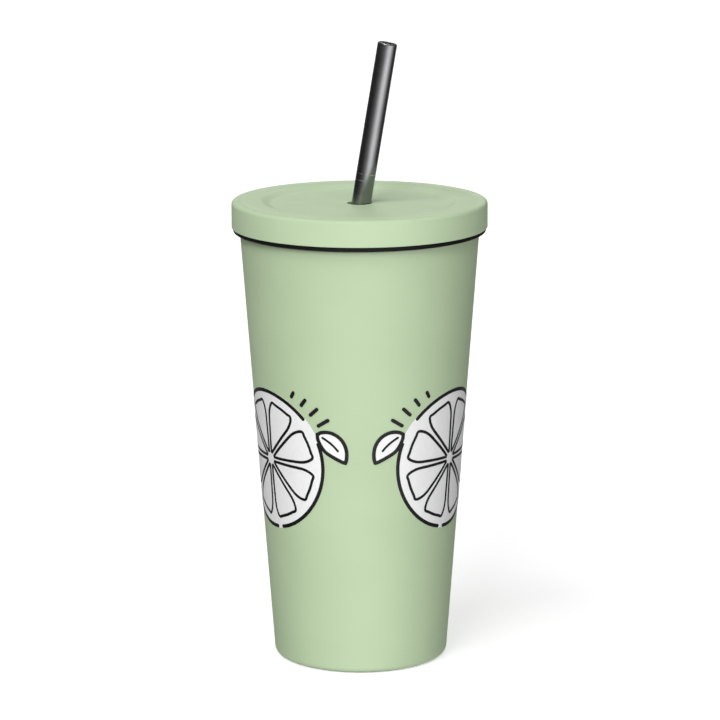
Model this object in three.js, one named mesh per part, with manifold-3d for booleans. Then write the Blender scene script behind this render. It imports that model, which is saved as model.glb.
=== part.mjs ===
// Vacuum-insulated tumbler with a push-in lid and a metal straw.
// Millimetres, +Z up. The origin is the centre of the foot ring, on the surface that the cup
// stands on, and the straw leans towards +X.
import * as THREE from 'three';
import { mergeVertices } from 'three/addons/utils/BufferGeometryUtils.js';
import Module from 'manifold-3d';

const wasm = await Module();
wasm.setup();

// ---- Driving dimensions ----

const SEGMENTS = 40; // facets round the cup and the lid
const SMALL_SEGMENTS = 24; // facets round the straw and the small inner pieces
const GAP = 0.3; // kept between pieces that touch

// Cup: two drawn steel walls with a vacuum between them, joined at the rim.
const CUP_HEIGHT = 178.4;
const FOOT_R = 35.8; // outer wall carried down to z = 0
const RIM_R = 49.12; // outer wall at the rim
const STEEL = 0.5; // thickness of both walls and of both bottoms
const VACUUM = 2.7; // space between the walls
const FOOT_FILLET = 3;
const FOOT_RING_INNER_R = 30;
const FOOT_CURL = 1.1; // radius of the curl inside the foot ring
const FOOT_CURL_TOP = 3.4;
const FLOOR_Z = 12.2; // inside floor
const FLOOR_FILLET = 1.4;
const FLOOR_DOME = 1; // the floor's middle stands this much higher
const FLOOR_DOME_R = 22;
const FLOOR_CROWN_R = 8;
const LINER_SEAM_Z = 13.7; // where the liner's wall is welded to its bottom
const MOUTH_Z = 168; // above this the liner runs close inside the outer wall
const SHOULDER_Z = 158; // below this the liner stands a full vacuum space inside it

// Outer bottom and what is in the vacuum space under the floor.
const BASE_Z = 2.4; // underside of the outer bottom
const DIMPLE_R = 5.6;
const DIMPLE_ROOF_R = 4.6;
const DIMPLE_DEPTH = 1.8;
const VACUUM_HOLE_R = 1.2;
const BEAD_R = 4.1;
const BEAD_HEIGHT = 1.1;
const GETTER_OFFSET = 14; // the getter's distance from the cup's axis
const GETTER_R = 5.2;
const GETTER_HEIGHT = 2.5;
const BRACKET_SHEET = 0.4;

// Lid: a green cover welded onto a plug, with a silicone sleeve round the plug.
const LID_R = 52.5;
const LID_TOP = 191.5;
const SKIRT_BOTTOM = 180.6;
const LID_FILLET = 1.4;
const COVER_WALL = 1.8;
const DISH_DEPTH = 1.3;
const DISH_OUTER_R = 40;
const DISH_INNER_R = 36;
const STRAW_HOLE_R = 5.25;
const PLUG_WALL = 1.6;
const PLUG_R = 44.3;
const PLUG_BOTTOM = 167;
const PLUG_LIP = 1; // bead round the plug's foot that keeps the seal on
const CHIMNEY_R = 8.3; // inside of the tube that the straw passes through
const CHIMNEY_TOP = 185.6;
const GROMMET_HOLE_R = 6.2;
const SEAL_FLANGE_R = 51.9;
const SEAL_FLANGE_FILLET = 0.8;
const SEAL_SLEEVE = 1.3;
const SEAL_RIB_WIDTH = 1.6;

// Straw, leaning in its grommet.
const STRAW_R = 4;
const STRAW_BORE_R = 3.5;
const STRAW_LENGTH = 246;
const STRAW_ABOVE_PIVOT = 71; // measured along the straw
const STRAW_LEAN = THREE.MathUtils.degToRad(9.4);
const STRAW_PIVOT_Z = 185.9; // where the straw's axis crosses the lid's axis
const GROMMET_BORE_R = 4.35;
const GROMMET_R = 8;
const GROMMET_FLANGE = 1.6;

// ---- Outlines, as points of radius and height ----

const point = (r, z) => new THREE.Vector2(r, z);

/** Outside radius of the cup's wall at a height, less an inset. */
const wallR = (z, inset = 0) => FOOT_R + ((RIM_R - FOOT_R) * z) / CUP_HEIGHT - inset;

/** Points on a circle's arc, with both angles in degrees. */
function arc(r, z, radius, from, to, steps) {
  return Array.from({ length: steps + 1 }, (_, i) => {
    const angle = THREE.MathUtils.degToRad(from + ((to - from) * i) / steps);
    return point(r + radius * Math.cos(angle), z + radius * Math.sin(angle));
  });
}

/** Unit vector square to the line from a to b, on its left. */
function leftOf(a, b) {
  return point(a.y - b.y, b.x - a.x).normalize();
}

/** Closed outline of a sheet: one face follows the path, the other lies to its left. */
function sheet(path, thickness) {
  const last = path.length - 1;
  const otherFace = path.map((p, i) => {
    const before = leftOf(path[Math.max(i - 1, 0)], path[Math.max(i, 1)]);
    const after = leftOf(path[Math.min(i, last - 1)], path[Math.min(i + 1, last)]);
    const middle = before.clone().add(after).normalize();
    return p.clone().addScaledVector(middle, thickness / middle.dot(after));
  });
  return [...path, ...otherFace.reverse()];
}

/** Turns a closed, anticlockwise outline about +Z. */
function revolve(outline, segments = SEGMENTS) {
  const isOnAxis = (p) => p.x < 1e-6;
  const next = (i) => outline[(i + 1) % outline.length];
  const end = outline.findIndex((p, i) => isOnAxis(p) && isOnAxis(next(i)));
  const start = end + 1;
  const profile = [...outline.slice(start), ...outline.slice(0, start)];
  if (end < 0) profile.push(outline[0]);
  return new THREE.LatheGeometry(profile, segments).rotateX(Math.PI / 2);
}

// ---- Joining and cutting ----

function solidOf(geometry) {
  const bare = geometry.clone();
  bare.deleteAttribute('normal');
  bare.deleteAttribute('uv');
  const merged = mergeVertices(bare);
  return new wasm.Manifold(new wasm.Mesh({
    numProp: 3,
    vertProperties: merged.attributes.position.array,
    triVerts: Uint32Array.from(merged.index.array),
  }));
}

function geometryOf(solid) {
  const { vertProperties, triVerts } = solid.getMesh();
  const geometry = new THREE.BufferGeometry();
  geometry.setAttribute('position', new THREE.BufferAttribute(vertProperties, 3));
  geometry.setIndex(new THREE.BufferAttribute(triVerts, 1));
  geometry.computeVertexNormals();
  return geometry;
}

// ---- Materials ----

function material(color, roughness, metalness) {
  return new THREE.MeshStandardMaterial({ color, roughness, metalness });
}

const greenCoat = material(0xc4d9b5, 0.45, 0);
const greenPlastic = material(0xc4d9b5, 0.4, 0);
const steel = material(0xc3c4c6, 0.32, 1);
const darkSteel = material(0x35373a, 0.22, 1);
const blackPlastic = material(0x1d1f1e, 0.5, 0);
const silicone = material(0x171918, 0.65, 0);
const sealingGlass = material(0x2b302e, 0.2, 0);
const getterMetal = material(0x6f6c68, 0.7, 0.6);

function piece(name, geometry, look) {
  const mesh = new THREE.Mesh(geometry, look);
  mesh.name = name;
  return mesh;
}

// ---- Cup ----

/** The coated outer wall, with its foot ring curled in under it. */
function outerShell() {
  const slope = (RIM_R - FOOT_R) / CUP_HEIGHT;
  const tilt = THREE.MathUtils.radToDeg(Math.atan(slope));
  const filletR = wallR(FOOT_FILLET) - FOOT_FILLET * Math.hypot(1, slope);
  const curlR = FOOT_RING_INNER_R + FOOT_CURL;
  const outside = [
    point(FOOT_RING_INNER_R, FOOT_CURL_TOP),
    ...arc(curlR, FOOT_CURL, FOOT_CURL, 180, 270, 3),
    ...arc(filletR, FOOT_FILLET, FOOT_FILLET, -90, -tilt, 4),
    point(wallR(CUP_HEIGHT), CUP_HEIGHT),
  ];
  return piece('outer_shell', revolve(sheet(outside, STEEL)), greenCoat);
}

/** The bare inner wall, which widens at the mouth to meet the outer one at the rim. */
function innerLiner() {
  const mouthInset = 2 * STEEL + GAP;
  const wallInset = 2 * STEEL + VACUUM;
  const shoulderSteps = 4;
  const shoulder = Array.from({ length: shoulderSteps + 1 }, (_, i) => {
    const t = i / shoulderSteps;
    const ease = t * t * (3 - 2 * t);
    const z = THREE.MathUtils.lerp(MOUTH_Z, SHOULDER_Z, t);
    return point(wallR(z, THREE.MathUtils.lerp(mouthInset, wallInset, ease)), z);
  });
  const inside = [
    point(wallR(CUP_HEIGHT, mouthInset), CUP_HEIGHT),
    ...shoulder,
    point(wallR(LINER_SEAM_Z + GAP, wallInset), LINER_SEAM_Z + GAP),
  ];
  return piece('inner_liner', revolve(sheet(inside, STEEL)), steel);
}

/** The liner's pressed bottom, slightly domed. */
function linerBottom() {
  const wallInset = 2 * STEEL + VACUUM;
  const filletZ = FLOOR_Z + FLOOR_FILLET;
  const inside = [
    point(wallR(LINER_SEAM_Z, wallInset), LINER_SEAM_Z),
    ...arc(wallR(filletZ, wallInset + FLOOR_FILLET), filletZ, FLOOR_FILLET, 0, -90, 4),
    point(FLOOR_DOME_R, FLOOR_Z),
    point(FLOOR_CROWN_R, FLOOR_Z + FLOOR_DOME),
    point(0, FLOOR_Z + FLOOR_DOME),
  ];
  return piece('liner_bottom', revolve(sheet(inside, STEEL)), steel);
}

/** The outer bottom, with the dimple and the hole that the air was pumped out through. */
function shellBase() {
  const underside = [
    point(VACUUM_HOLE_R, BASE_Z + DIMPLE_DEPTH),
    point(DIMPLE_ROOF_R, BASE_Z + DIMPLE_DEPTH),
    point(DIMPLE_R, BASE_Z),
    point(FOOT_RING_INNER_R - GAP, BASE_Z),
  ];
  return piece('shell_base', revolve(sheet(underside, STEEL)), steel);
}

/** The bead of sealing glass that closes the hole. */
function vacuumBead() {
  const top = BASE_Z + DIMPLE_DEPTH - GAP;
  const outline = [
    point(0, top - BEAD_HEIGHT),
    point(BEAD_R * 0.6, top - BEAD_HEIGHT * 0.85),
    point(BEAD_R, top - BEAD_HEIGHT * 0.3),
    point(BEAD_R, top),
    point(0, top),
  ];
  return piece('vacuum_bead', revolve(outline, SMALL_SEGMENTS), sealingGlass);
}

/** The getter pill and the small cup that holds it under the liner's bottom. */
function getter() {
  const top = FLOOR_Z - STEEL - GAP;
  const cupR = GETTER_R + GAP + BRACKET_SHEET;
  const pillTop = top - GAP;
  const cupBottom = pillTop - GETTER_HEIGHT - GAP - BRACKET_SHEET;
  const cupOutside = [point(0, cupBottom), point(cupR, cupBottom), point(cupR, top)];
  const pill = [
    point(0, pillTop - GETTER_HEIGHT),
    point(GETTER_R, pillTop - GETTER_HEIGHT),
    point(GETTER_R, pillTop),
    point(0, pillTop),
  ];
  const group = new THREE.Group();
  group.position.y = GETTER_OFFSET;
  group.add(
    piece('getter_bracket', revolve(sheet(cupOutside, BRACKET_SHEET), SMALL_SEGMENTS), steel),
    piece('getter_pill', revolve(pill, SMALL_SEGMENTS), getterMetal),
  );
  return group;
}

// ---- Lid ----

/** The visible cover: a flat cap with a shallow dish, a skirt and the straw's hole. */
function lidCover() {
  const dishZ = LID_TOP - DISH_DEPTH;
  const outside = [
    point(LID_R, SKIRT_BOTTOM),
    ...arc(LID_R - LID_FILLET, LID_TOP - LID_FILLET, LID_FILLET, 0, 90, 3),
    point(DISH_OUTER_R, LID_TOP),
    point(DISH_INNER_R, dishZ),
    point(STRAW_HOLE_R, dishZ),
  ];
  const inside = [
    point(STRAW_HOLE_R, dishZ - COVER_WALL),
    point(DISH_INNER_R, dishZ - COVER_WALL),
    point(DISH_OUTER_R, LID_TOP - COVER_WALL),
    point(LID_R - COVER_WALL, LID_TOP - COVER_WALL),
    point(LID_R - COVER_WALL, SKIRT_BOTTOM),
  ];
  return piece('lid_cover', revolve([...outside, ...inside]), greenPlastic);
}

/** The plug under the cover, closed below but for the tube that the straw passes through. */
function lidInsert() {
  const rimR = LID_R - COVER_WALL - GAP;
  const rimTop = LID_TOP - DISH_DEPTH - COVER_WALL - GAP;
  const underside = [
    point(GROMMET_HOLE_R, CHIMNEY_TOP - PLUG_WALL),
    point(CHIMNEY_R, CHIMNEY_TOP - PLUG_WALL),
    point(CHIMNEY_R, PLUG_BOTTOM),
    point(PLUG_R + PLUG_LIP, PLUG_BOTTOM),
    point(PLUG_R + PLUG_LIP, PLUG_BOTTOM + PLUG_LIP),
    point(PLUG_R, PLUG_BOTTOM + 2 * PLUG_LIP),
    point(PLUG_R, SKIRT_BOTTOM),
    point(rimR, SKIRT_BOTTOM),
    point(rimR, rimTop),
  ];
  return piece('lid_insert', revolve(sheet(underside, PLUG_WALL)), blackPlastic);
}

/** A soft rib that stands out from the seal's sleeve nearly to the liner. */
function sealRib(z, sleeveR) {
  const half = SEAL_RIB_WIDTH / 2;
  const tipR = wallR(z, 2 * STEEL + 2 * GAP);
  return [point(sleeveR, z - half), point(tipR, z), point(sleeveR, z + half)];
}

/** The silicone seal: a ribbed sleeve round the plug and a flange between lid and rim. */
function lidSeal() {
  const innerR = PLUG_R + GAP;
  const sleeveR = innerR + SEAL_SLEEVE;
  const sleeveBottom = PLUG_BOTTOM + 2 * PLUG_LIP + GAP;
  const flangeBottom = CUP_HEIGHT + GAP;
  const flangeTop = SKIRT_BOTTOM - GAP;
  const ribPitch = (flangeBottom - sleeveBottom) / 3;
  const filletR = SEAL_FLANGE_R - SEAL_FLANGE_FILLET;
  const outline = [
    point(innerR, sleeveBottom),
    point(sleeveR, sleeveBottom),
    ...sealRib(sleeveBottom + ribPitch, sleeveR),
    ...sealRib(sleeveBottom + 2 * ribPitch, sleeveR),
    point(sleeveR, flangeBottom),
    ...arc(filletR, flangeBottom + SEAL_FLANGE_FILLET, SEAL_FLANGE_FILLET, -90, 0, 3),
    point(SEAL_FLANGE_R, flangeTop),
    point(innerR, flangeTop),
  ];
  return piece('lid_seal', revolve(outline), silicone);
}

// ---- Straw ----

/** The grommet: two flanges that grip the edge of its hole, with a bore along the straw. */
function strawGrommet() {
  const plateTop = CHIMNEY_TOP;
  const plateBottom = CHIMNEY_TOP - PLUG_WALL;
  const waistR = GROMMET_HOLE_R - GAP;
  const coreR = 1;
  const outline = [
    point(coreR, plateBottom - GAP - GROMMET_FLANGE),
    point(GROMMET_R, plateBottom - GAP - GROMMET_FLANGE),
    point(GROMMET_R, plateBottom - GAP),
    point(waistR, plateBottom - GAP),
    point(waistR, plateTop + GAP),
    point(GROMMET_R, plateTop + GAP),
    point(GROMMET_R, plateTop + GAP + GROMMET_FLANGE),
    point(coreR, plateTop + GAP + GROMMET_FLANGE),
  ];
  const boreLength = 6 * GROMMET_R;
  const bore = new THREE.CylinderGeometry(
    GROMMET_BORE_R, GROMMET_BORE_R, boreLength, SMALL_SEGMENTS,
  );
  bore.rotateX(Math.PI / 2).rotateY(STRAW_LEAN).translate(0, 0, STRAW_PIVOT_Z);
  const solid = solidOf(revolve(outline)).subtract(solidOf(bore));
  return piece('straw_grommet', geometryOf(solid), silicone);
}

/** The straw, a plain metal tube that leans about its pivot in the grommet. */
function leaningStraw() {
  const top = STRAW_ABOVE_PIVOT;
  const bottom = top - STRAW_LENGTH;
  const tube = [
    point(STRAW_R, bottom),
    point(STRAW_R, top),
    point(STRAW_BORE_R, top),
    point(STRAW_BORE_R, bottom),
  ];
  const group = new THREE.Group();
  group.position.z = STRAW_PIVOT_Z;
  group.rotation.y = STRAW_LEAN;
  group.add(piece('straw', revolve(tube, SMALL_SEGMENTS), darkSteel));
  return group;
}

// ---- Assembly ----

const cup = new THREE.Group();
cup.add(outerShell(), innerLiner(), linerBottom(), shellBase(), vacuumBead(), getter());

const lid = new THREE.Group();
lid.add(lidCover(), lidInsert(), lidSeal(), strawGrommet());

const tumbler = new THREE.Group();
tumbler.add(cup, lid, leaningStraw());

export default tumbler;
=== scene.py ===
"""Looks of the insulated tumbler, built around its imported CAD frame. Metres, +Z up."""

import math

import bmesh
import bpy
from mathutils import Matrix, Vector


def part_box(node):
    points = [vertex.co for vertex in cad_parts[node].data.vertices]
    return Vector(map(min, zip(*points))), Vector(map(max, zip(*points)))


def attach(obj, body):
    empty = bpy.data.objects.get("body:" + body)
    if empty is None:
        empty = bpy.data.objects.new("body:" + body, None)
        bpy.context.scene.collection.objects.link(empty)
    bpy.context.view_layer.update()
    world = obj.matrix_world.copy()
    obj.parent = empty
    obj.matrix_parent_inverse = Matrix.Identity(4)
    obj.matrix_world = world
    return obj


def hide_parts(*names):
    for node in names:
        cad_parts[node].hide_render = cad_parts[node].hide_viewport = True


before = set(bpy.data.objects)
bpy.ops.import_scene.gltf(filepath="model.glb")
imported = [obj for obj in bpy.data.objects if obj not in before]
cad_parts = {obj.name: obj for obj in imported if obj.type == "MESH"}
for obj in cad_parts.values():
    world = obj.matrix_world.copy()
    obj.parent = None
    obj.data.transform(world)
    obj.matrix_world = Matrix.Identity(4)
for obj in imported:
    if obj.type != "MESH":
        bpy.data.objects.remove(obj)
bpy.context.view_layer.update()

MM = 0.001
TURN = 2 * math.pi

# ---- Driving sizes: the frame's boxes, and the details that the CAD solids leave plain ----

LINER_FOOT_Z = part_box("inner_liner")[0].z
FLOOR_TOP_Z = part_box("liner_bottom")[1].z
BASE_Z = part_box("shell_base")[0].z
BEAD_LOW, BEAD_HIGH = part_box("vacuum_bead")
COVER_LOW, COVER_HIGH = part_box("lid_cover")
PLUG_LOW, PLUG_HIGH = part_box("lid_insert")
SEAL_LOW, SEAL_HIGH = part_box("lid_seal")
GROMMET_LOW, GROMMET_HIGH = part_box("straw_grommet")

RIM_Z = 178.4 * MM
RIM_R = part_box("outer_shell")[1].x
FOOT_R = 35.8 * MM  # the wall's line carried down to the floor
STEEL = 0.5 * MM
WALL_STACK = 3.7 * MM  # both walls and the vacuum between them
MOUTH_STACK = 1.3 * MM  # the same at the mouth, where the walls run close together
FOOT_FILLET = 3 * MM
FOOT_RING_R = 30 * MM
FOOT_CURL = 1.1 * MM
FOOT_CURL_TOP = 3.4 * MM
FLOOR_DEPTH = 1.5 * MM  # from the seam down to the flat of the floor
FLOOR_FILLET = 1.4 * MM
FLOOR_DOME = 1 * MM  # the floor's middle stands this much higher
FLOOR_DOME_R = 22 * MM
FLOOR_CROWN_R = 8 * MM

STRAW_R = 4 * MM
STRAW_BORE_R = 3.5 * MM
STRAW_LENGTH = 246 * MM
STRAW_ABOVE_PIVOT = 71 * MM
STRAW_PIVOT = Vector((0, 0, 185.9 * MM))
STRAW_LEAN = math.radians(9.4)

PLAIN_STEPS = 256  # facets round the cup and lid
SMALL_STEPS = 96  # facets round the straw, grommet and bead


# ---- Outlines, as (radius, height) pairs ----


def wall_r(z, inset=0.0):
    """Outside radius of the cup's wall at a height, less an inset."""
    return FOOT_R + (RIM_R - FOOT_R) * z / RIM_Z - inset


def arc(r, z, radius, start, end, steps=8):
    """Points on a circle's arc, with both angles in degrees."""
    angles = [math.radians(start + (end - start) * i / steps) for i in range(steps + 1)]
    return [(r + radius * math.cos(a), z + radius * math.sin(a)) for a in angles]


def left_of(a, b):
    """Unit vector square to the line from a to b, on its left."""
    across = Vector((a[1] - b[1], b[0] - a[0]))
    return across.normalized()


def sheet_outline(path, thickness):
    """Closed outline of a sheet: one face follows the path, and the other lies to its left."""
    last = len(path) - 1
    other = []
    for i, p in enumerate(path):
        before = left_of(path[max(i - 1, 0)], path[max(i, 1)])
        after = left_of(path[min(i, last - 1)], path[min(i + 1, last)])
        middle = (before + after).normalized()
        shift = middle * (thickness / middle.dot(after))
        other.append((max(p[0] + shift.x, 0.0), p[1] + shift.y))
    return list(path) + other[::-1]


def smooth_step(t):
    return t * t * (3 - 2 * t)


# ---- Meshes ----


def finish_mesh(name, points, faces, sharp_degrees=32):
    """A mesh object with smooth shading that breaks at sharp corners."""
    mesh = bpy.data.meshes.new(name)
    mesh.from_pydata(points, [], faces)
    shape = bmesh.new()
    shape.from_mesh(mesh)
    bmesh.ops.recalc_face_normals(shape, faces=shape.faces)
    shape.to_mesh(mesh)
    shape.free()
    mesh.shade_smooth()
    mesh.set_sharp_from_angle(angle=math.radians(sharp_degrees))
    obj = bpy.data.objects.new(name, mesh)
    bpy.context.scene.collection.objects.link(obj)
    return obj


def loft(name, rings, closed=True, sharp_degrees=32):
    """Skins a list of rings, each with the same number of points. A ring of one point is a pole."""
    points = []
    starts = []
    for ring in rings:
        starts.append(len(points))
        points.extend(ring)
    faces = []
    pairs = list(zip(range(len(rings) - 1), range(1, len(rings))))
    if closed:
        pairs.append((len(rings) - 1, 0))
    for a, b in pairs:
        count_a, count_b = len(rings[a]), len(rings[b])
        for i in range(max(count_a, count_b)):
            j = (i + 1) % max(count_a, count_b)
            corners = [starts[a] + i % count_a, starts[a] + j % count_a]
            corners += [starts[b] + j % count_b, starts[b] + i % count_b]
            faces.append(tuple(dict.fromkeys(corners)))
    return finish_mesh(name, points, faces, sharp_degrees)


def circle(r, z, steps):
    if r < 1e-7:
        return [(0.0, 0.0, z)]
    return [
        (r * math.cos(TURN * i / steps), r * math.sin(TURN * i / steps), z) for i in range(steps)
    ]


def turned(name, outline, steps=PLAIN_STEPS):
    """Turns an anticlockwise outline about +Z. It is a loop, or it has both ends on the axis."""
    on_axis = [p[0] < 1e-7 for p in outline]
    closed = not any(on_axis)
    if not closed:
        first = next(i for i in range(len(outline)) if on_axis[i] and on_axis[i - 1])
        outline = outline[first:] + outline[:first]
    return loft(name, [circle(r, z, steps) for r, z in outline], closed)


def place(obj, material, body, slot, *nodes):
    """Gives a piece its material and its body, and hides the CAD nodes that it stands for. The
    finish slot is not used.
    """
    obj.data.materials.append(material)
    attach(obj, body)
    if nodes:
        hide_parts(*nodes)
    return obj


# ---- Materials ----


class Look:
    """A node material that starts from one Principled shader."""

    def __init__(self, name, **values):
        self.material = bpy.data.materials.new(name)
        self.material.use_nodes = True
        self.tree = self.material.node_tree
        self.shader = self.tree.nodes["Principled BSDF"]
        for key, value in values.items():
            self.shader.inputs[key.replace("_", " ")].default_value = value
        self.place = self.add("ShaderNodeTexCoord").outputs["Object"]

    def add(self, kind, **settings):
        node = self.tree.nodes.new(kind)
        for key, value in settings.items():
            setattr(node, key, value)
        return node

    def link(self, source, target):
        self.tree.links.new(source, target)

    def maths(self, operation, *values):
        node = self.add("ShaderNodeMath", operation=operation)
        for socket, value in zip(node.inputs, values):
            if isinstance(value, (int, float)):
                socket.default_value = value
            else:
                self.link(value, socket)
        return node.outputs[0]

    def noise(self, size, detail=2.0, roughness=0.5, where=None, distortion=0.0):
        """Noise with features of about this size in metres."""
        node = self.add("ShaderNodeTexNoise")
        node.inputs["Scale"].default_value = 1 / size
        node.inputs["Detail"].default_value = detail
        node.inputs["Roughness"].default_value = roughness
        node.inputs["Distortion"].default_value = distortion
        self.link(where or self.place, node.inputs["Vector"])
        return node.outputs["Fac"]

    def spread(self, value, low, high, start=0.3, end=0.7):
        """Maps a value from start..end to low..high."""
        node = self.add("ShaderNodeMapRange")
        node.inputs["From Min"].default_value = start
        node.inputs["From Max"].default_value = end
        node.inputs["To Min"].default_value = low
        node.inputs["To Max"].default_value = high
        self.link(value, node.inputs["Value"])
        return node.outputs["Result"]

    def blend(self, factor, first, second):
        """Colour that goes from first to second."""
        node = self.add("ShaderNodeMix", data_type="RGBA")
        self.link(factor, node.inputs["Factor"])
        for socket, value in zip((node.inputs[6], node.inputs[7]), (first, second)):
            if isinstance(value, tuple):
                socket.default_value = (*value, 1.0)
            else:
                self.link(value, socket)
        return node.outputs[2]

    def mottled(self, value, darker, lighter):
        """Colour that wanders between two shades with a noise."""
        return self.blend(self.spread(value, 0, 1), darker, lighter)

    def drive(self, socket, value):
        self.link(value, self.shader.inputs[socket])

    def bump(self, height, depth, below=None):
        """Relief of this depth in metres, on top of another relief if one is given."""
        node = self.add("ShaderNodeBump")
        node.inputs["Strength"].default_value = 1.0
        node.inputs["Distance"].default_value = depth
        self.link(height, node.inputs["Height"])
        if below:
            self.link(below, node.inputs["Normal"])
        self.link(node.outputs[0], self.shader.inputs["Normal"])
        return node.outputs[0]

    def axes(self):
        node = self.add("ShaderNodeSeparateXYZ")
        self.link(self.place, node.inputs[0])
        return node.outputs

    def joined(self, x, y, z):
        node = self.add("ShaderNodeCombineXYZ")
        for socket, value in zip(node.inputs, (x, y, z)):
            if isinstance(value, (int, float)):
                socket.default_value = value
            else:
                self.link(value, socket)
        return node.outputs[0]

    def turned_place(self, around, along, outward):
        """Coordinates that run round the Z axis, up it and out from it, each scaled."""
        x, y, z = self.axes()
        square = self.maths("ADD", self.maths("MULTIPLY", x, x), self.maths("MULTIPLY", y, y))
        radius = self.maths("SQRT", square)
        angle = self.maths("ARCTAN2", y, x)
        return self.joined(
            self.maths("MULTIPLY", angle, around),
            self.maths("MULTIPLY", z, along),
            self.maths("MULTIPLY", radius, outward),
        )


def coat_look():
    """Satin powder coat: fine orange peel, a little cloudiness, worn scuffs where it stands, and a
    painted contact shadow along its lowest edge.
    """
    look = Look("powder_coat", Specular_IOR_Level=0.35)
    cloud = look.noise(35 * MM, 3)
    colour = look.mottled(cloud, (0.467, 0.595, 0.379), (0.493, 0.624, 0.402))
    height = look.axes()[2]
    low_edge = look.spread(height, 1.0, 0.0, 0.2 * MM, 1.6 * MM)
    scuffs = look.spread(look.noise(0.9 * MM, 4, 0.7), 0.0, 1.0, 0.52, 0.66)
    patchy_mask = look.maths("MULTIPLY", low_edge, scuffs)
    scuffed = look.blend(patchy_mask, colour, (0.34, 0.45, 0.27))
    # Painted contact shadow: a dark band over the lowest millimetre of the foot, where the cup
    # meets the floor.
    painted_contact_shadow = look.spread(height, 0.9, 0.0, 0.35 * MM, 1.0 * MM)
    look.drive("Base Color", look.blend(painted_contact_shadow, scuffed, (0.13, 0.16, 0.11)))
    look.drive("Roughness", look.spread(look.noise(9 * MM, 4), 0.48, 0.58))
    peel = look.bump(look.noise(0.75 * MM, 2), 0.012 * MM)
    look.bump(look.noise(0.16 * MM, 1), 0.003 * MM, peel)
    return look.material


def lid_look():
    """Moulded plastic in the cup's green, with a fine spark-eroded texture."""
    look = Look("lid_plastic", Specular_IOR_Level=0.28)
    cloud = look.noise(28 * MM, 3)
    colour = look.mottled(cloud, (0.499, 0.634, 0.410), (0.524, 0.662, 0.432))
    look.drive("Base Color", colour)
    look.drive("Roughness", look.spread(look.noise(7 * MM, 4), 0.50, 0.60))
    flow = look.bump(look.noise(3.2 * MM, 2), 0.006 * MM)
    look.bump(look.noise(0.22 * MM, 2), 0.005 * MM, flow)
    return look.material


def steel_look(name, rough_low, rough_high, grain):
    """Stainless steel with the fine rings that turning and polishing leave."""
    look = Look(name, Metallic=1.0)
    rings = look.noise(1.0, 5, 0.65, look.turned_place(1.5, grain, grain))
    clouds = look.noise(14 * MM, 3)
    colour = look.mottled(clouds, (0.70, 0.70, 0.71), (0.80, 0.80, 0.81))
    look.drive("Base Color", colour)
    look.drive("Roughness", look.spread(rings, rough_low, rough_high))
    look.bump(rings, 0.004 * MM)
    return look.material


def painted_glint_rings(look):
    """Two broken rings just above the lid: painted highlights, drawn as paler and rougher steel."""
    along = look.axes()[2]
    above_pivot, half_width = (14.0 * MM, 16.7 * MM), 0.22 * MM
    rings = [look.maths("COMPARE", along, STRAW_PIVOT.z + z, half_width) for z in above_pivot]
    patchy_mask = look.spread(look.noise(2.2 * MM, 3), 0.0, 0.8, 0.46, 0.58)
    return look.maths("MULTIPLY", look.maths("ADD", *rings), patchy_mask)


def straw_look():
    """Dark coated steel, polished lengthways, with faint wipe marks."""
    look = Look("dark_steel", Metallic=1.0)
    turn = look.add("ShaderNodeVectorRotate", rotation_type="Y_AXIS")
    turn.inputs["Angle"].default_value = -STRAW_LEAN
    turn.inputs["Center"].default_value = STRAW_PIVOT
    look.link(look.place, turn.inputs["Vector"])
    look.place = turn.outputs[0]
    grain = look.noise(1.0, 4, 0.6, look.turned_place(9.0, 60.0, 0.0))
    wipes = look.noise(6 * MM, 4, 0.6, distortion=0.6)
    colour = look.mottled(wipes, (0.205, 0.205, 0.21), (0.24, 0.24, 0.245))
    # The two paler rings above the lid are painted highlights, not wear.
    painted_glints = painted_glint_rings(look)
    look.drive("Base Color", look.blend(painted_glints, colour, (0.42, 0.42, 0.42)))
    streaks = look.spread(grain, -0.03, 0.03)
    clean = look.maths("ADD", look.spread(wipes, 0.17, 0.22), streaks)
    look.drive("Roughness", look.maths("ADD", clean, look.maths("MULTIPLY", painted_glints, 0.16)))
    look.bump(grain, 0.003 * MM)
    return look.material


def black_look(name, shade, rough_low, rough_high, texture, depth):
    """Black moulded plastic or silicone, with a faint bloom on its surface."""
    look = Look(name, Specular_IOR_Level=0.2)
    bloom = look.noise(5 * MM, 4)
    darker = tuple(shade * 0.8 for _ in range(3))
    lighter = tuple(shade * 1.35 for _ in range(3))
    look.drive("Base Color", look.mottled(bloom, darker, lighter))
    look.drive("Roughness", look.spread(look.noise(2.5 * MM, 4), rough_low, rough_high))
    look.bump(look.noise(texture, 2), depth)
    return look.material


def ink_look(name, darker, lighter, rough_low, rough_high):
    """A thin layer of cured ink, which follows the coat under it."""
    look = Look(name, Specular_IOR_Level=0.3)
    cover = look.noise(1.8 * MM, 4)
    look.drive("Base Color", look.mottled(cover, darker, lighter))
    look.drive("Roughness", look.spread(look.noise(6 * MM, 3), rough_low, rough_high))
    peel = look.bump(look.noise(0.75 * MM, 2), 0.010 * MM)
    look.bump(look.noise(0.12 * MM, 1), 0.002 * MM, peel)
    return look.material


def glass_bead_look():
    """Opaque solder glass, dark and glossy with flow marks."""
    look = Look("sealing_glass", Specular_IOR_Level=0.6)
    flow = look.noise(1.2 * MM, 3, 0.5, distortion=1.0)
    look.drive("Base Color", look.mottled(flow, (0.020, 0.025, 0.024), (0.045, 0.052, 0.050)))
    look.drive("Roughness", look.spread(flow, 0.10, 0.24))
    look.bump(look.noise(1.5 * MM, 2), 0.03 * MM)
    return look.material


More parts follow.
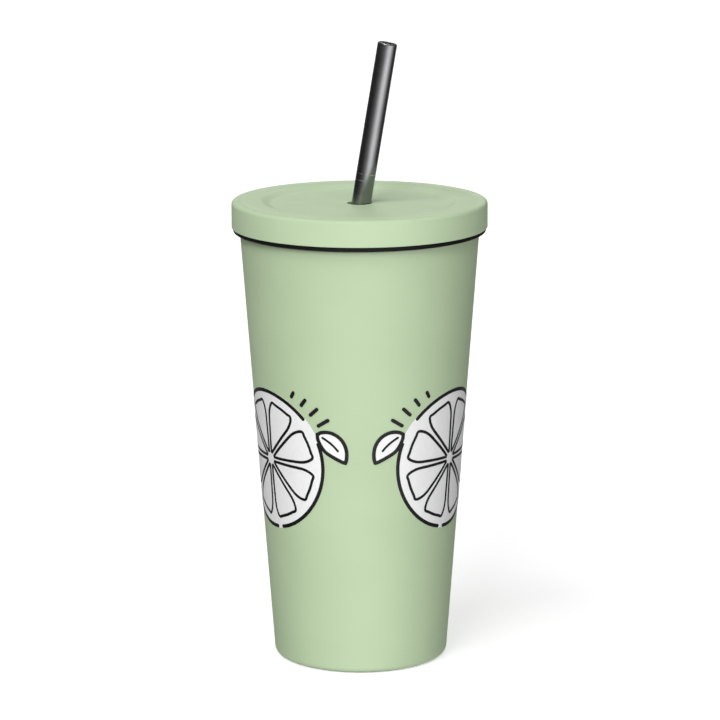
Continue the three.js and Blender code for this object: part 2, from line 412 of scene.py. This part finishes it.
def getter_look():
    """Pressed and sintered metal powder."""
    look = Look("getter_metal", Metallic=0.6)
    grain = look.noise(0.18 * MM, 3)
    look.drive("Base Color", look.mottled(grain, (0.11, 0.105, 0.10), (0.23, 0.22, 0.21)))
    look.drive("Roughness", look.spread(grain, 0.6, 0.85))
    look.bump(grain, 0.03 * MM)
    return look.material


# ---- Cup ----


def wall_tangent():
    """Slope of the cup's wall, and the same as an angle in degrees."""
    slope = (RIM_R - FOOT_R) / RIM_Z
    return slope, math.degrees(math.atan(slope))


def make_shell(material):
    """The coated wall, from the curl inside the foot ring up to the rounded rim."""
    slope, lean = wall_tangent()
    fillet_r = wall_r(FOOT_FILLET) - FOOT_FILLET * math.hypot(1, slope)
    rim_round = 0.4 * MM
    path = [(FOOT_RING_R, FOOT_CURL_TOP)]
    path += arc(FOOT_RING_R + FOOT_CURL, FOOT_CURL, FOOT_CURL, 180, 270, 10)
    path += arc(fillet_r, FOOT_FILLET, FOOT_FILLET, -90, -lean, 18)
    rim_start = RIM_Z - rim_round
    wall_steps = 12
    for i in range(1, wall_steps):
        z = FOOT_FILLET + (rim_start - FOOT_FILLET) * i / wall_steps
        path.append((wall_r(z), z))
    path += arc(wall_r(rim_start) - rim_round, rim_start, rim_round, -lean, 80, 6)
    shell = turned("cup_wall", sheet_outline(path, STEEL * 0.6))
    return place(shell, material, "cup", "coat_green", "outer_shell")


def make_liner(material):
    """The bare inner wall, with a rounded lip that closes the rim."""
    lip_round = 0.35 * MM
    lip_outer = RIM_R - 0.75 * MM
    mouth_top = RIM_Z - lip_round
    shoulder_top, shoulder_bottom = 168 * MM, 158 * MM
    lip = [(lip_outer, RIM_Z - 2.5 * MM), (lip_outer, mouth_top)]
    path = arc(wall_r(RIM_Z, MOUTH_STACK) + lip_round, mouth_top, lip_round, 90, 180, 6)
    steps = 16
    for i in range(steps + 1):
        t = i / steps
        z = shoulder_top + (shoulder_bottom - shoulder_top) * t
        stack = MOUTH_STACK + (WALL_STACK - MOUTH_STACK) * smooth_step(t)
        path.append((wall_r(z, stack), z))
    seam_z = LINER_FOOT_Z
    wall_steps = 10
    for i in range(1, wall_steps + 1):
        z = shoulder_bottom + (seam_z - shoulder_bottom) * i / wall_steps
        path.append((wall_r(z, WALL_STACK), z))
    lip_points = 7  # the wall's own back starts after them
    back = [(r + STEEL, z) for r, z in path[lip_points:]][::-1]
    outline = path + back + lip
    liner = turned("liner_wall", outline)
    return place(liner, material, "cup", "bare_steel", "inner_liner")


def make_floor(material):
    """The liner's bottom: a rounded corner, a shallow dome, and the weld bead round its edge."""
    floor_z = FLOOR_TOP_Z - FLOOR_DEPTH
    crown_z = floor_z + FLOOR_DOME
    fillet_z = floor_z + FLOOR_FILLET
    weld_round = 0.35 * MM
    weld_r = wall_r(FLOOR_TOP_Z, WALL_STACK) + 0.1 * MM
    weld_z = FLOOR_TOP_Z + 0.15 * MM
    path = [(weld_r, weld_z + 0.5 * MM)]
    path += arc(weld_r, weld_z, weld_round, 120, 240, 6)
    path += arc(wall_r(fillet_z, WALL_STACK + FLOOR_FILLET), fillet_z, FLOOR_FILLET, 0, -90, 14)
    dome_steps = 10
    for i in range(dome_steps + 1):
        t = i / dome_steps
        r = FLOOR_DOME_R + (FLOOR_CROWN_R - FLOOR_DOME_R) * t
        path.append((r, floor_z + FLOOR_DOME * smooth_step(t)))
    path.append((0.0, crown_z))
    floor = turned("liner_floor", sheet_outline(path, STEEL))
    return place(floor, material, "cup", "bare_steel", "liner_bottom")


def make_base(material):
    """The outer bottom: a dimple, a pressed ring and the weld to the foot ring."""
    under = BASE_Z
    roof = under + 1.8 * MM
    hole_r, roof_r, dimple_r = 1.2 * MM, 4.3 * MM, 6 * MM
    roof_round, dimple_round = 0.4 * MM, 0.5 * MM
    path = [(hole_r, roof), (roof_r, roof)]
    path += arc(roof_r, roof - roof_round, roof_round, 90, 20, 4)[1:]
    path += arc(dimple_r, under + dimple_round, dimple_round, 200, 270, 5)
    ring_r, ring_width, ring_height = 20 * MM, 1.6 * MM, 0.5 * MM
    ring_steps = 12
    for i in range(ring_steps + 1):
        t = i / ring_steps
        rise = ring_height * 0.5 * (1 - math.cos(TURN * t))
        path.append((ring_r - ring_width + 2 * ring_width * t, under + rise))
    path.append((FOOT_RING_R - 0.9 * MM, under))
    path += arc(FOOT_RING_R - 0.15 * MM, under + 0.35 * MM, 0.45 * MM, 230, 330, 6)
    base = turned("base_disc", sheet_outline(path, STEEL * 0.8))
    return place(base, material, "cup", "bare_steel", "shell_base")


def make_bead(material):
    """The drop of solder glass in the dimple."""
    top, radius = BEAD_HIGH.z, BEAD_HIGH.x
    height = top - BEAD_LOW.z
    steps = 14
    angles = [0.5 * math.pi * i / steps for i in range(steps + 1)]
    outline = [(radius * math.sin(a), top - height * math.cos(a)) for a in angles]
    outline.append((0.0, top))
    bead = turned("sealing_bead", outline, SMALL_STEPS)
    return place(bead, material, "cup", "sealing_glass", "vacuum_bead")


# ---- Printed pictures: a line-drawn slice of citrus with a leaf, once on each side ----

PRINT_AZIMUTH = 59.5  # degrees round from the front, to the left and to the right
PRINT_Z = 88 * MM
SLICE_R = 29.3 * MM
INK = 0.07 * MM  # thickness of each of the two layers, white under black
OUTLINE = 1.5 * MM
DETAIL = 1.15 * MM


class Picture:
    """Flat drawing coordinates, laid on the cup's wall. +u runs towards the cup's front."""

    def __init__(self, side):
        self.side = side
        self.name = "left" if side < 0 else "right"

    def on_wall(self, u, v, height):
        z = PRINT_Z + v
        azimuth = self.side * (math.radians(PRINT_AZIMUTH) - u / wall_r(PRINT_Z))
        r = wall_r(z) + height
        return (r * math.sin(azimuth), -r * math.cos(azimuth), z)

    def layer(self, level):
        """Underside and top of the white layer, 0, or of the black layer, 1."""
        gap = 0.01 * MM
        low = gap + level * (INK + gap)
        return low, low + INK

    def disc(self, name, radius, material, slot):
        low, high = self.layer(0)
        spokes, hoops = 128, 14

        def hoop(r, height):
            angles = [TURN * i / spokes for i in range(spokes)]
            return [self.on_wall(r * math.cos(a), r * math.sin(a), height) for a in angles]

        sizes = [radius * i / hoops for i in range(1, hoops + 1)]
        rings = [[self.on_wall(0, 0, high)]]
        rings += [hoop(r, high) for r in sizes]
        rings += [hoop(r, low) for r in reversed(sizes)]
        rings += [[self.on_wall(0, 0, low)]]
        disc = loft(f"{name}_{self.name}", rings, closed=False)
        return place(disc, material, "cup", slot)

    def band(self, name, middle, widths, level, material, slot, across=4):
        """A strip of ink along a line of points, as wide at each point as the list says."""
        low, high = self.layer(level)
        rings = [[self.on_wall(*middle[0], (low + high) / 2)]]
        for i in range(1, len(middle) - 1):
            ahead = Vector(middle[i + 1]) - Vector(middle[i - 1])
            side = Vector((-ahead.y, ahead.x)).normalized() * widths[i] / 2
            steps = [1 - 2 * j / across for j in range(across + 1)]
            edge = [Vector(middle[i]) + side * t for t in steps]
            top = [self.on_wall(p.x, p.y, high) for p in edge]
            bottom = [self.on_wall(p.x, p.y, low) for p in reversed(edge)]
            rings.append(top + bottom)
        rings.append([self.on_wall(*middle[-1], (low + high) / 2)])
        band = loft(f"{name}_{self.name}", rings, closed=False)
        return place(band, material, "cup", slot)

    def stroke(self, name, line, width, material):
        """A black pen line with round ends."""
        points, widths = round_ended(line, width)
        return self.band(name, points, widths, 1, material, "print_black")


def round_ended(line, width, steps=5):
    """Adds a half circle's worth of stations to both ends of a line."""

    def cap(end, inner):
        out = (Vector(end) - Vector(inner)).normalized()
        angles = [0.5 * math.pi * i / steps for i in range(steps, 0, -1)]
        stations = [tuple(Vector(end) + out * (width / 2) * math.sin(a)) for a in angles]
        return stations, [width * math.cos(a) for a in angles]

    first, first_widths = cap(line[0], line[1])
    last, last_widths = cap(line[-1], line[-2])
    points = first + list(line) + last[::-1]
    widths = first_widths + [width] * len(line) + last_widths[::-1]
    return points, widths


def curve_line(points, steps=10):
    """A smooth line through a few points."""
    ends = [points[0]] + list(points) + [points[-1]]
    line = []
    for i in range(1, len(ends) - 2):
        a, b, c, d = (Vector(p) for p in ends[i - 1 : i + 3])
        for j in range(steps):
            t = j / steps
            bend = a * (-t + 2 * t * t - t**3) + b * (2 - 5 * t * t + 3 * t**3)
            bend += c * (t + 4 * t * t - 3 * t**3) + d * (t**3 - t * t)
            line.append(tuple(bend / 2))
    return line + [tuple(points[-1])]


def arc_line(radius, start, end):
    return arc(0, 0, radius, start, end, max(6, int(abs(end - start) / 3)))


def wedge_line(direction, spread, inner, outer, corner):
    """Outline of one segment of the slice: a triangle with bowed base and rounded corners."""
    turn = Matrix.Rotation(math.radians(direction), 2)
    half = math.radians(spread / 2)
    left = [(outer * math.cos(half * t), outer * math.sin(half * t)) for t in (0.0, 0.45, 0.78)]
    shoulder = ((outer - corner) * math.cos(half), (outer - corner) * math.sin(half))
    waist = (0.55 * outer * math.cos(half), 0.55 * outer * math.sin(half) * 0.98)
    upper = left + [shoulder, waist, (inner * 1.12, inner * 0.16)]
    lower = [(x, -y) for x, y in reversed(upper)][:-1]
    loop = upper + [(inner, 0.0)] + lower
    line = curve_line(loop + [loop[0]], 6)
    return [tuple(turn @ Vector(p)) for p in line]


def leaf_shape(base, tip, width, bow, steps=20):
    """Middle line and widths of a leaf that bows to one side."""
    base, tip = Vector(base), Vector(tip)
    along = tip - base
    side = Vector((-along.y, along.x)).normalized()
    middle, widths = [], []
    for i in range(steps + 1):
        t = i / steps
        middle.append(tuple(base + along * t + side * bow * math.sin(math.pi * t)))
        widths.append(width * math.sin(math.pi * t ** 0.85) ** 0.8)
    return middle, widths


def leaf_edge(middle, widths, sign):
    """One edge of the leaf, as a line from its base to its tip."""
    edge = [middle[0]]
    for i in range(1, len(middle) - 1):
        ahead = Vector(middle[i + 1]) - Vector(middle[i - 1])
        side = Vector((-ahead.y, ahead.x)).normalized() * sign * widths[i] / 2
        edge.append(tuple(Vector(middle[i]) + side))
    return edge + [middle[-1]]


def make_picture(side, white, black):
    """One slice: white ground, broken outline, segments, leaf and a few drops of juice."""
    picture = Picture(side)
    picture.disc("slice_ground", SLICE_R, white, "print_white")
    rim = SLICE_R - OUTLINE / 2
    rim_spans = ((-78, 20), (44, 128), (136, 205), (212, 274))  # degrees, with gaps between them
    for i, (start, end) in enumerate(rim_spans):
        picture.stroke(f"slice_rim_{i}", arc_line(rim, start, end), OUTLINE, black)
    segments, gap_degrees = 8, 9
    for i in range(segments):
        direction = 360 * (i + 0.5) / segments
        spread = 360 / segments - gap_degrees
        line = wedge_line(direction, spread, inner=3.2 * MM, outer=24.2 * MM, corner=4.2 * MM)
        picture.stroke(f"slice_segment_{i}", line, DETAIL, black)
    leaf_base, leaf_tip = (26.6 * MM, 14.0 * MM), (38.0 * MM, 2.6 * MM)
    middle, widths = leaf_shape(leaf_base, leaf_tip, width=8.6 * MM, bow=1.6 * MM)
    picture.band("leaf_ground", middle, widths, 0, white, "print_white", 6)
    for name, sign in (("leaf_upper", 1), ("leaf_lower", -1)):
        picture.stroke(name, leaf_edge(middle, widths, sign), OUTLINE, black)
    picture.stroke("leaf_vein", middle[3:14], DETAIL * 0.8, black)
    drops, first_degrees, step_degrees = 4, 33, 9.5
    for i in range(drops):
        a = math.radians(first_degrees + step_degrees * i)
        near, far = 32.5 * MM, (37.2 - 0.9 * i) * MM  # each is a little shorter than the last
        dash = [(r * math.cos(a), r * math.sin(a)) for r in (near, (near + far) / 2, far)]
        picture.stroke(f"juice_{i}", dash, OUTLINE, black)


# ---- Lid ----


def make_cover(material):
    """The green cover: skirt, rounded edge, shallow groove, raised ring, dish and straw hole."""
    top, bottom = COVER_HIGH.z, COVER_LOW.z
    radius = COVER_HIGH.x
    wall = 1.8 * MM
    lip, edge = 0.3 * MM, 1.5 * MM
    dish_depth = 1.3 * MM
    hole_r, hole_round = 5.05 * MM, 0.25 * MM
    dish_z = top - dish_depth
    path = [(radius - wall * 0.8, bottom)]
    path += arc(radius - lip, bottom + lip, lip, -90, 0, 6)
    path += arc(radius - edge, top - edge, edge, 0, 82, 14)
    groove_r, groove_width, groove_depth = 48.2 * MM, 1.3 * MM, 0.28 * MM
    ring_r = 41.4 * MM
    step_outer, step_inner = 40.8 * MM, 36.2 * MM
    steps = 12
    for i in range(1, steps + 1):
        t = i / steps
        r = radius - edge - (radius - edge - ring_r) * t
        dip = groove_depth * math.exp(-(((r - groove_r) / groove_width) ** 2))
        path.append((r, top - dip))
    for i in range(steps + 1):
        t = i / steps
        path.append((step_outer + (step_inner - step_outer) * t, top - dish_depth * smooth_step(t)))
    path.append((20 * MM, dish_z))
    path += arc(hole_r + hole_round, dish_z - hole_round, hole_round, 90, 180, 6)
    path.append((hole_r, dish_z - wall))
    inside = [
        (step_inner, dish_z - wall),
        (step_outer, top - wall),
        (radius - wall - 1 * MM, top - wall),
        (radius - wall, top - wall - 1 * MM),
    ]
    cover = turned("lid_cap", path + inside)
    return place(cover, material, "lid", "lid_green", "lid_cover")


def make_plug(material):
    """The black plug: rounded foot with its lip, flange under the cover, and the straw's tube."""
    wall = 1.6 * MM
    bottom, top = PLUG_LOW.z, PLUG_HIGH.z
    rim_r = PLUG_HIGH.x
    plug_r, lip, foot_round = 44.3 * MM, 1 * MM, 0.8 * MM
    grommet_hole_r = 6.2 * MM
    tube_r, tube_top, tube_round = 8.3 * MM, 185.6 * MM, 0.6 * MM
    band_in, band_out = 24 * MM, 36.5 * MM  # a faint raised band under the plug
    band_step, band_rise = 0.5 * MM, 0.35 * MM
    skirt_z = COVER_LOW.z
    path = [(grommet_hole_r, tube_top - wall), (tube_r, tube_top - wall)]
    path += arc(tube_r + tube_round, bottom + tube_round, tube_round, 180, 270, 6)
    path += [(band_in, bottom), (band_in + band_step, bottom + band_rise)]
    path += [(band_out - band_step, bottom + band_rise), (band_out, bottom)]
    path += arc(plug_r + lip - foot_round, bottom + foot_round, foot_round, -90, 20, 8)
    path += [(plug_r, bottom + 2 * lip), (plug_r, skirt_z), (rim_r, skirt_z), (rim_r, top)]
    plug = turned("lid_plug", sheet_outline(path, wall * 0.5))
    return place(plug, material, "lid", "plug_black", "lid_insert")


def make_seal(material):
    """The silicone sleeve with its two ribs, and the flange that shows as the black line."""
    bottom, top = SEAL_LOW.z, COVER_LOW.z
    inner_r, sleeve_r = 44.6 * MM, 45.9 * MM
    flange_r, flange_z = SEAL_HIGH.x, RIM_Z + 0.35 * MM
    flange_round, sleeve_round, rib_round = 0.8 * MM, 0.4 * MM, 0.3 * MM
    rib_half, rib_clearance = 1 * MM, 0.12 * MM
    outline = [(inner_r, bottom)]
    outline += arc(sleeve_r - sleeve_round, bottom + sleeve_round, sleeve_round, -90, 0, 4)
    pitch = (flange_z - bottom) / 3
    for rib_z in (bottom + pitch, bottom + 2 * pitch):
        tip = wall_r(rib_z, MOUTH_STACK + rib_clearance)
        outline.append((sleeve_r, rib_z - rib_half))
        outline += arc(tip - rib_round, rib_z, rib_round, -60, 60, 5)
        outline.append((sleeve_r, rib_z + rib_half))
    outline.append((sleeve_r, flange_z))
    outline += arc(flange_r - flange_round, flange_z + flange_round, flange_round, -90, 0, 10)
    outline += [(flange_r, top - 0.03 * MM), (inner_r, top - 0.03 * MM)]
    seal = turned("seal_ring", outline)
    return place(seal, material, "seal", "silicone_black", "lid_seal")


# ---- Straw ----


def bore_ring(z, radius):
    """Points where the straw's leaning axis, with this radius round it, crosses a height."""
    centre_x = (z - STRAW_PIVOT.z) * math.tan(STRAW_LEAN)
    stretch = 1 / math.cos(STRAW_LEAN)
    return [
        (
            centre_x + radius * stretch * math.cos(TURN * i / SMALL_STEPS),
            radius * math.sin(TURN * i / SMALL_STEPS),
            z,
        )
        for i in range(SMALL_STEPS)
    ]


def make_grommet(material):
    """The soft grommet, which grips the plug's top plate outside and the straw inside."""
    bottom, top = GROMMET_LOW.z, GROMMET_HIGH.z
    flange = 1.6 * MM
    outer_r, waist_r = GROMMET_HIGH.x, 5.9 * MM
    soft = 0.4 * MM
    outside = arc(outer_r - soft, bottom + soft, soft, -90, 0, 5)
    outside += arc(outer_r - soft, bottom + flange - soft, soft, 0, 90, 5)
    outside += [(waist_r, bottom + flange), (waist_r, top - flange)]
    outside += arc(outer_r - soft, top - flange + soft, soft, -90, 0, 5)
    outside += arc(outer_r - soft, top - soft, soft, 0, 90, 5)
    rings = [circle(r, z, SMALL_STEPS) for r, z in outside]
    chamfer = 0.5 * MM
    grip = STRAW_R + 0.12 * MM
    mouth = grip + chamfer
    rings += [bore_ring(top, mouth), bore_ring(top - chamfer, grip)]
    rings += [bore_ring(bottom + chamfer, grip), bore_ring(bottom, mouth)]
    grommet = loft("grommet", rings)
    return place(grommet, material, "grommet", "silicone_black", "straw_grommet")


def make_straw(material):
    """The straw. Both ends are spun inwards a little, to a smooth lip that doesn't cut."""
    top = STRAW_ABOVE_PIVOT
    bottom = top - STRAW_LENGTH
    crest_r, inner_round = 3.3 * MM, 0.25 * MM
    outer_round = STRAW_R - crest_r
    throat = 1.8 * MM  # depth over which the lip thins out into the tube
    outline = [(STRAW_BORE_R, bottom + throat)]
    outline += arc(crest_r, bottom + inner_round, inner_round, 180, 270, 5)
    outline += arc(crest_r, bottom + outer_round, outer_round, 280, 360, 8)
    outline += [(STRAW_R, bottom + (top - bottom) * i / 12) for i in range(1, 12)]
    outline += arc(crest_r, top - outer_round, outer_round, 0, 80, 8)
    outline += arc(crest_r, top - inner_round, inner_round, 90, 180, 5)
    outline.append((STRAW_BORE_R, top - throat))
    straw = turned("straw_tube", outline, SMALL_STEPS)
    lean = Matrix.Translation(STRAW_PIVOT) @ Matrix.Rotation(STRAW_LEAN, 4, "Y")
    straw.data.transform(lean)
    return place(straw, material, "straw", "straw_dark", "straw")


# ---- Stage, light and camera ----


def make_floor_stage():
    """A pale floor that lights nothing. It glows a little, as a backlit sweep does."""
    look = Look("floor_white", Roughness=0.9, Emission_Strength=0.535)
    look.shader.inputs["Emission Color"].default_value = (1, 1, 1, 1)
    dust = look.noise(0.4, 2)
    look.drive("Base Color", look.mottled(dust, (0.69, 0.69, 0.69), (0.71, 0.71, 0.71)))
    side = 12.0
    corners = [(-side, -side, 0), (side, -side, 0), (side, side, 0), (-side, side, 0)]
    floor = finish_mesh("stage_floor", corners, [(0, 1, 2, 3)])
    floor.data.materials.append(look.material)
    floor.visible_glossy = False
    floor.visible_diffuse = False


def make_light(name, azimuth, elevation, radiance):
    """A big soft panel, far off. Azimuth 0 is the camera's side, and it grows to the right."""
    distance, side = 30.0, 11.5
    a, e = math.radians(azimuth), math.radians(elevation)
    away = Vector((math.sin(a) * math.cos(e), -math.cos(a) * math.cos(e), math.sin(e)))
    data = bpy.data.lights.new(name, "AREA")
    data.shape = "SQUARE"
    data.size = side
    data.energy = radiance * math.pi * side * side
    light = bpy.data.objects.new(name, data)
    light.location = away * distance
    light.rotation_mode = "QUATERNION"
    light.rotation_quaternion = away.to_track_quat("Z", "Y")
    light.visible_camera = False
    bpy.context.scene.collection.objects.link(light)


class Dome:
    """The studio round the cup, as light that comes from far away in each direction."""

    def __init__(self):
        self.world = bpy.data.worlds.new("studio")
        self.world.use_nodes = True
        self.tree = self.world.node_tree
        self.direction = self.tree.nodes.new("ShaderNodeTexCoord").outputs["Generated"]
        self.height = self.node("ShaderNodeSeparateXYZ", self.direction).outputs["Z"]
        self.total = None

    def node(self, kind, *values, **settings):
        made = self.tree.nodes.new(kind)
        for key, value in settings.items():
            setattr(made, key, value)
        for socket, value in zip(made.inputs, values):
            if isinstance(value, bpy.types.NodeSocket):
                self.tree.links.new(value, socket)
            else:
                socket.default_value = value
        return made

    def maths(self, operation, *values):
        return self.node("ShaderNodeMath", *values, operation=operation).outputs[0]

    def vector(self, operation, *values):
        return self.node("ShaderNodeVectorMath", *values, operation=operation).outputs

    def add(self, light):
        self.total = light if self.total is None else self.maths("ADD", self.total, light)

    def floor_glow(self, level):
        """Even light from below the horizon."""
        self.add(self.maths("MULTIPLY", self.maths("LESS_THAN", self.height, 0.0), level))

    def sky(self, horizon, full):
        """Light from above: dim at the horizon, and even from a quarter of the way up."""
        rise = self.node("ShaderNodeMapRange", interpolation_type="SMOOTHSTEP")
        self.tree.links.new(self.height, rise.inputs["Value"])
        for socket, value in (("From Max", 0.4), ("To Min", horizon), ("To Max", full)):
            rise.inputs[socket].default_value = value
        above = self.maths("GREATER_THAN", self.height, 0.0)
        self.add(self.maths("MULTIPLY", rise.outputs["Result"], above))

    def glow(self, azimuth, elevation, level, squeeze, falloff):
        """A soft patch of light: squeeze makes it lower than it is wide, falloff narrows it."""
        a = math.radians(azimuth)
        lowered = (0.0, 0.0, -math.sin(math.radians(elevation)))
        moved = self.vector("ADD", self.direction, lowered)[0]
        scaled = self.vector("MULTIPLY", moved, (1.0, 1.0, squeeze))[0]
        unit = self.vector("NORMALIZE", scaled)[0]
        middle = (math.sin(a), -math.cos(a), 0.0)
        facing = self.vector("DOT_PRODUCT", unit, middle)["Value"]
        shape = self.maths("POWER", self.maths("MAXIMUM", facing, 0.0), falloff)
        self.add(self.maths("MULTIPLY", shape, level))

    def use(self):
        background = self.tree.nodes["Background"]
        background.inputs["Color"].default_value = (1, 1, 1, 1)
        self.tree.links.new(self.total, background.inputs["Strength"])
        bpy.context.scene.world = self.world


def make_camera():
    """A long lens in front of the cup, looking a little down."""
    data = bpy.data.cameras.new("camera")
    data.sensor_width = 36.0  # millimetres, as is the lens
    data.lens = 172.9
    camera = bpy.data.objects.new("camera", data)
    distance, elevation, aim_z = 1.4, math.radians(13.20), 0.090
    pitch, roll = math.radians(11.86), math.radians(-0.168)
    camera.location = (0, -distance, aim_z + distance * math.tan(elevation))
    turn = Matrix.Rotation(math.pi / 2 - pitch, 4, "X") @ Matrix.Rotation(roll, 4, "Z")
    camera.rotation_euler = turn.to_euler()
    bpy.context.scene.collection.objects.link(camera)
    bpy.context.scene.camera = camera


# ---- Assembly ----

coat = coat_look()
lid_plastic = lid_look()
brushed = steel_look("brushed_steel", 0.24, 0.40, 900.0)
polished = steel_look("base_steel", 0.16, 0.30, 700.0)
silicone = black_look("silicone", 0.0035, 0.55, 0.70, 0.25 * MM, 0.004 * MM)
plug_plastic = black_look("plug_plastic", 0.018, 0.42, 0.56, 0.18 * MM, 0.004 * MM)

make_shell(coat)
make_liner(brushed)
make_floor(brushed)
make_base(polished)
make_bead(glass_bead_look())
make_cover(lid_plastic)
make_plug(plug_plastic)
make_seal(silicone)
make_grommet(silicone)
make_straw(straw_look())
white_ink = ink_look("white_ink", (0.86, 0.86, 0.86), (0.90, 0.90, 0.90), 0.38, 0.46)
black_ink = ink_look("black_ink", (0.005, 0.005, 0.005), (0.009, 0.009, 0.009), 0.42, 0.52)
for side in (-1, 1):
    make_picture(side, white_ink, black_ink)

for node, look in (("getter_bracket", polished), ("getter_pill", getter_look())):
    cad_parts[node].data.materials.clear()
    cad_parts[node].data.materials.append(look)

make_floor_stage()
dome = Dome()
dome.floor_glow(0.06)
dome.sky(horizon=0.05, full=0.25)
dome.glow(azimuth=37, elevation=-9, level=2.7, squeeze=5.0, falloff=4.0)
dome.glow(azimuth=-5, elevation=-55, level=4.0, squeeze=2.6, falloff=3.0)
dome.glow(azimuth=180, elevation=-42, level=2.3, squeeze=2.6, falloff=4.0)
dome.use()
make_light("front", azimuth=-20, elevation=35, radiance=9.2)
make_light("key_left", azimuth=-50, elevation=58, radiance=6.6)
make_light("fill_right", azimuth=35, elevation=60, radiance=2.6)
make_light("back", azimuth=180, elevation=30, radiance=2.0)
make_camera()
bpy.context.scene.view_settings.view_transform = "Standard"
